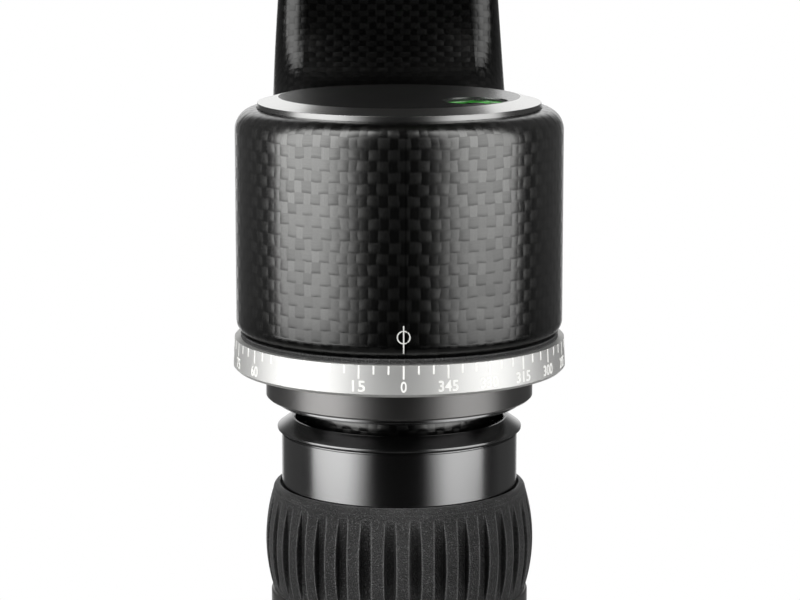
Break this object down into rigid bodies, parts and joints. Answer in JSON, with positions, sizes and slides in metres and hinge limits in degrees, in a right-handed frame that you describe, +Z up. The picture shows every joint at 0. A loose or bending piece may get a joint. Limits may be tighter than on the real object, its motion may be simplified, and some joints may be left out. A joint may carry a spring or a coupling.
{
  "type": "gimbal tripod head",
  "caption": "Gimbal tripod head: carbon-fibre arm from a panning cup to a tilt hub, hanging height-adjustable lens platform, graduated dials, twist pan lock.",
  "frame": {"origin": "centre of the base underside, at the mouth of the 3/8 inch tripod socket, on the pan axis", "axes": "+Z up along the pan axis; the tilt axis is parallel to Y and the arm stands on the +Y side; the lens lies along X"},
  "size_m": [0.06, 0.1857, 0.241],
  "materials": {
    "carbon": "woven carbon fibre, satin clear coat",
    "black_anodised": "satin black anodised",
    "gloss_black": "bright black anodised",
    "cap_black": "fine blasted black anodised",
    "satin_silver": "satin anodised with printed graduation",
    "raw_aluminium": "turned",
    "rubber": "ribbed, fine grain",
    "seal": "matte",
    "steel": "turned steel",
    "black_steel": "black oxide",
    "friction": "acetal friction ring",
    "bronze": "turned bronze",
    "level_body": "moulded",
    "level_liquid": "tinted spirit",
    "level_air": "air bubble",
    "level_lens": "clear"
  },
  "bodies": {
    "base": {"base_plate": "black_anodised", "tripod_bush": "steel", "foot_screws": "black_steel", "core_column": "raw_aluminium", "collar_circlip": "steel", "neck_tube": "carbon", "neck_ring": "gloss_black", "pan_flange": "black_anodised", "dial_ring": "satin_silver", "flange_screws": "black_steel", "pan_bearing_outer_races": "steel"},
    "pan_collar": {"collar_barrel": "gloss_black", "collar_foot_ring": "black_anodised", "collar_grip": "rubber", "collar_top_ring": "gloss_black"},
    "pan_brake": {"pan_brake_ring": "friction"},
    "pan_head": {"seal_ring": "seal", "pan_spindle": "steel", "spindle_disc": "steel", "spindle_bolt": "black_steel", "spindle_screws": "black_steel", "pan_bearing_inner_races": "steel", "cup_core": "raw_aluminium", "carbon_arm": "carbon", "cap_plate": "cap_black", "level_housing": "level_body", "level_fluid": "level_liquid", "level_bubble": "level_air", "level_glass": "level_lens", "hub_core": "raw_aluminium", "tilt_bearing_outer_races": "steel", "hub_cap": "cap_black", "hub_seal_ring": "seal"},
    "cradle": {"tilt_shaft": "steel", "tilt_bolt": "black_steel", "tilt_disc": "steel", "tilt_bearing_inner_races": "steel", "tilt_dial_ring": "satin_silver", "tilt_flange": "black_anodised", "swing_screws": "black_steel", "swing_plate": "black_anodised"},
    "tilt_brake": {"tilt_brake_pad": "friction"},
    "tilt_knob": {"tilt_knob_core": "gloss_black", "tilt_knob_grip": "rubber", "tilt_knob_cap": "cap_black"},
    "carriage": {"platform_bracket": "black_anodised", "clamp_bolts": "black_steel", "clamp_base": "black_anodised"},
    "moving_jaw": {"moving_jaw": "black_anodised", "jaw_guide_pins": "steel"},
    "clamp_knob": {"clamp_knob_core": "gloss_black", "clamp_knob_washer": "steel", "clamp_knob_grip": "rubber"},
    "height_knob": {"height_knob_core": "gloss_black", "height_knob_grip": "rubber"},
    "height_nut": {"height_tee_nut": "steel"}
  },
  "joints": [
    {"name": "pan", "type": "hinge", "parent": "base", "child": "pan_head", "pos_m": [0, 0, 0.05], "axis": [0, 0, 1], "continuous": true},
    {"name": "pan_collar_twist", "type": "hinge", "parent": "base", "child": "pan_collar", "pos_m": [0, 0, 0.02], "axis": [0, 0, 1], "range_deg": [-72, 0]},
    {"name": "pan_brake_lift", "type": "slide", "parent": "base", "child": "pan_brake", "axis": [0, 0, 1], "range_m": [0, 0.0006]},
    {"name": "tilt", "type": "hinge", "parent": "pan_head", "child": "cradle", "pos_m": [0, 0.0845, 0.212], "axis": [0, 1, 0], "continuous": true},
    {"name": "tilt_brake_press", "type": "slide", "parent": "pan_head", "child": "tilt_brake", "axis": [0, 1, 0], "range_m": [-0.00045, 0.00075]},
    {"name": "tilt_knob_turn", "type": "hinge", "parent": "tilt_brake", "child": "tilt_knob", "pos_m": [0, 0.12, 0.212], "axis": [0, 1, 0], "range_deg": [-108, 180]},
    {"name": "height", "type": "slide", "parent": "cradle", "child": "carriage", "axis": [0, 0, 1], "range_m": [0, 0.034]},
    {"name": "height_knob_turn", "type": "hinge", "parent": "carriage", "child": "height_knob", "pos_m": [0, 0.045, 0.146], "axis": [0, 1, 0], "range_deg": [0, 180]},
    {"name": "height_nut_draw", "type": "slide", "parent": "carriage", "child": "height_nut", "axis": [0, 1, 0], "range_m": [-0.0005, 0]},
    {"name": "jaw_slide", "type": "slide", "parent": "carriage", "child": "moving_jaw", "axis": [0, -1, 0], "range_m": [0, 0.005]},
    {"name": "clamp_knob_turn", "type": "hinge", "parent": "moving_jaw", "child": "clamp_knob", "pos_m": [0, -0.035, 0.1325], "axis": [0, -1, 0], "range_deg": [0, 720]}
  ],
  "couplings": [
    {"joint": "pan_brake_lift", "follows": "pan_collar_twist", "m_per_rad": -0.000477},
    {"joint": "tilt_brake_press", "follows": "tilt_knob_turn", "m_per_rad": 0.0002387},
    {"joint": "height_nut_draw", "follows": "height_knob_turn", "m_per_rad": -0.00015915},
    {"joint": "clamp_knob_turn", "follows": "jaw_slide", "rad_per_m": 2513.2}
  ]
}
